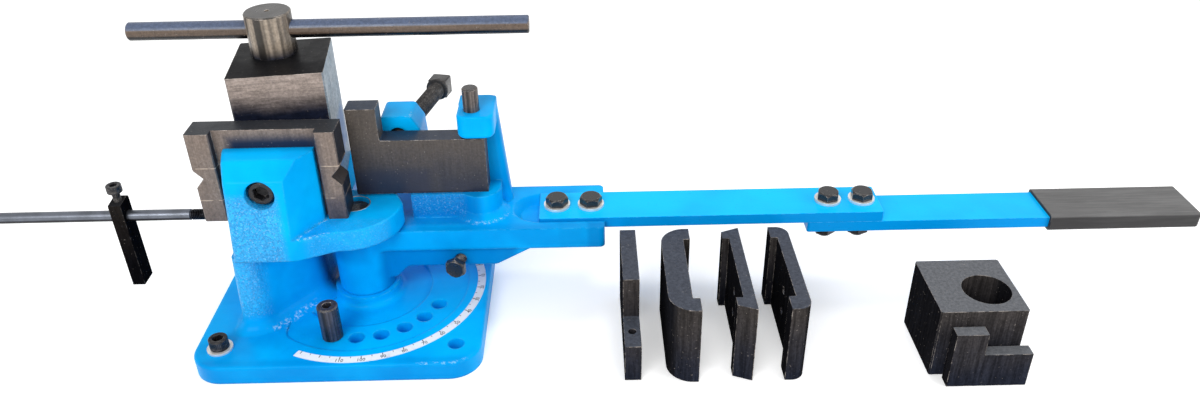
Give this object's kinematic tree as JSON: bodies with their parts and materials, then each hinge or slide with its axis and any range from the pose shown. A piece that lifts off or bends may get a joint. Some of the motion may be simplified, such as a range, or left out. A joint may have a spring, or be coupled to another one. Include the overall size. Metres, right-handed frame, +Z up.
{
  "type": "bench bender",
  "caption": "Bench-mounted metal bender: cast base with channel die and square block on an eccentric clamp pin, swinging lever arm with press plate, angle stops and loose dies.",
  "frame": {"origin": "on the arm's pivot axis, at the underside of the base plate", "axes": "+X along the lever at rest, +Y away from the operator, +Z up"},
  "size_m": [1.1445, 0.2844, 0.2632],
  "materials": {
    "blue_cast": "gloss enamel over rough casting",
    "blue_bar": "gloss enamel",
    "black_steel": "black oxide, oiled",
    "worn_black_steel": "black oxide over ground faces",
    "bright_steel": "turned",
    "zinc_steel": "zinc plated",
    "bronze": "turned",
    "scale_white": "satin, black marks",
    "grip_grey": "matt"
  },
  "bodies": {
    "machine": {"base_casting": "blue_cast", "angle_scale": "scale_white", "pivot_pin": "bright_steel", "pivot_grub_screw": "black_steel", "lower_thrust_washer": "bronze", "upper_thrust_washer": "bronze", "bending_die": "worn_black_steel", "die_screw": "black_steel", "base_screw": "black_steel", "base_screw_washer": "zinc_steel", "spare_press_plate": "worn_black_steel", "spare_thick_die": "worn_black_steel", "spare_sharp_die": "worn_black_steel", "spare_round_die": "worn_black_steel", "spare_block": "worn_black_steel", "spare_small_plate": "worn_black_steel"},
    "arm": {"arm_casting": "blue_cast", "hub_bushes": "bronze", "stop_bolt_nut": "black_steel", "lever_inner_bar": "blue_bar", "lever_outer_bar": "blue_bar", "lever_bolts": "black_steel", "lever_washers": "zinc_steel", "lever_nuts": "black_steel", "lever_grip": "grip_grey"},
    "press_plate_body": {"press_plate": "worn_black_steel"},
    "plate_pin_body": {"plate_pin": "black_steel"},
    "press_screw_body": {"press_screw": "black_steel"},
    "stop_bolt_body": {"stop_bolt": "black_steel"},
    "stop_pin_body": {"stop_pin": "black_steel"},
    "clamp": {"clamp_pin": "black_steel"},
    "block": {"forming_block": "worn_black_steel"},
    "t_bar_body": {"t_bar": "black_steel"},
    "stop_rod_body": {"stop_rod": "bright_steel"},
    "rod_stop_body": {"rod_stop_bar": "black_steel"},
    "rod_stop_screw_body": {"rod_stop_screw": "black_steel"}
  },
  "joints": [
    {"name": "arm_swing", "type": "hinge", "parent": "machine", "child": "arm", "pos_m": [0, 0, 0.056], "axis": [0, 0, 1], "range_deg": [-83, 0]},
    {"name": "stop_bolt_travel", "type": "slide", "parent": "arm", "child": "stop_bolt_body", "axis": [0.2079, 0.9781, 0], "range_m": [0, 0.008]},
    {"name": "stop_pin_lift", "type": "slide", "parent": "machine", "child": "stop_pin_body", "axis": [0, 0, 1], "range_m": [0, 0.045]},
    {"name": "clamp_turn", "type": "hinge", "parent": "machine", "child": "clamp", "pos_m": [-0.067, 0.0635, 0.15], "axis": [0, 0, 1], "range_deg": [0, 180]},
    {"name": "block_follow", "type": "hinge", "parent": "clamp", "child": "block", "pos_m": [-0.067, 0.0665, 0.15], "axis": [0, 0, 1], "range_deg": [-180, 0]},
    {"name": "t_bar_slide", "type": "slide", "parent": "clamp", "child": "t_bar_body", "axis": [1, 0, 0], "range_m": [-0.045, 0.1]},
    {"name": "press_screw_travel", "type": "slide", "parent": "arm", "child": "press_screw_body", "axis": [-0.225, -0.9744, 0], "range_m": [0, 0.005]},
    {"name": "press_plate_swivel", "type": "hinge", "parent": "arm", "child": "press_plate_body", "pos_m": [0.107, 0.0215, 0.13], "axis": [0, 0, 1], "range_deg": [0, 4.3]},
    {"name": "plate_pin_lift", "type": "slide", "parent": "arm", "child": "plate_pin_body", "axis": [0, 0, 1], "range_m": [0, 0.095]},
    {"name": "stop_rod_turn", "type": "hinge", "parent": "machine", "child": "stop_rod_body", "pos_m": [-0.2, 0.004, 0.0975], "axis": [1, 0, 0], "range_deg": [-90, 90]},
    {"name": "rod_stop_slide", "type": "slide", "parent": "stop_rod_body", "child": "rod_stop_body", "axis": [1, 0, 0], "range_m": [-0.15, 0.06]},
    {"name": "rod_stop_screw_travel", "type": "slide", "parent": "rod_stop_body", "child": "rod_stop_screw_body", "axis": [0, 0, 1], "range_m": [0, 0.004]}
  ],
  "couplings": [
    {"joint": "block_follow", "follows": "clamp_turn", "ratio": -1},
    {"joint": "press_plate_swivel", "follows": "press_screw_travel", "rad_per_m": 14.8}
  ]
}
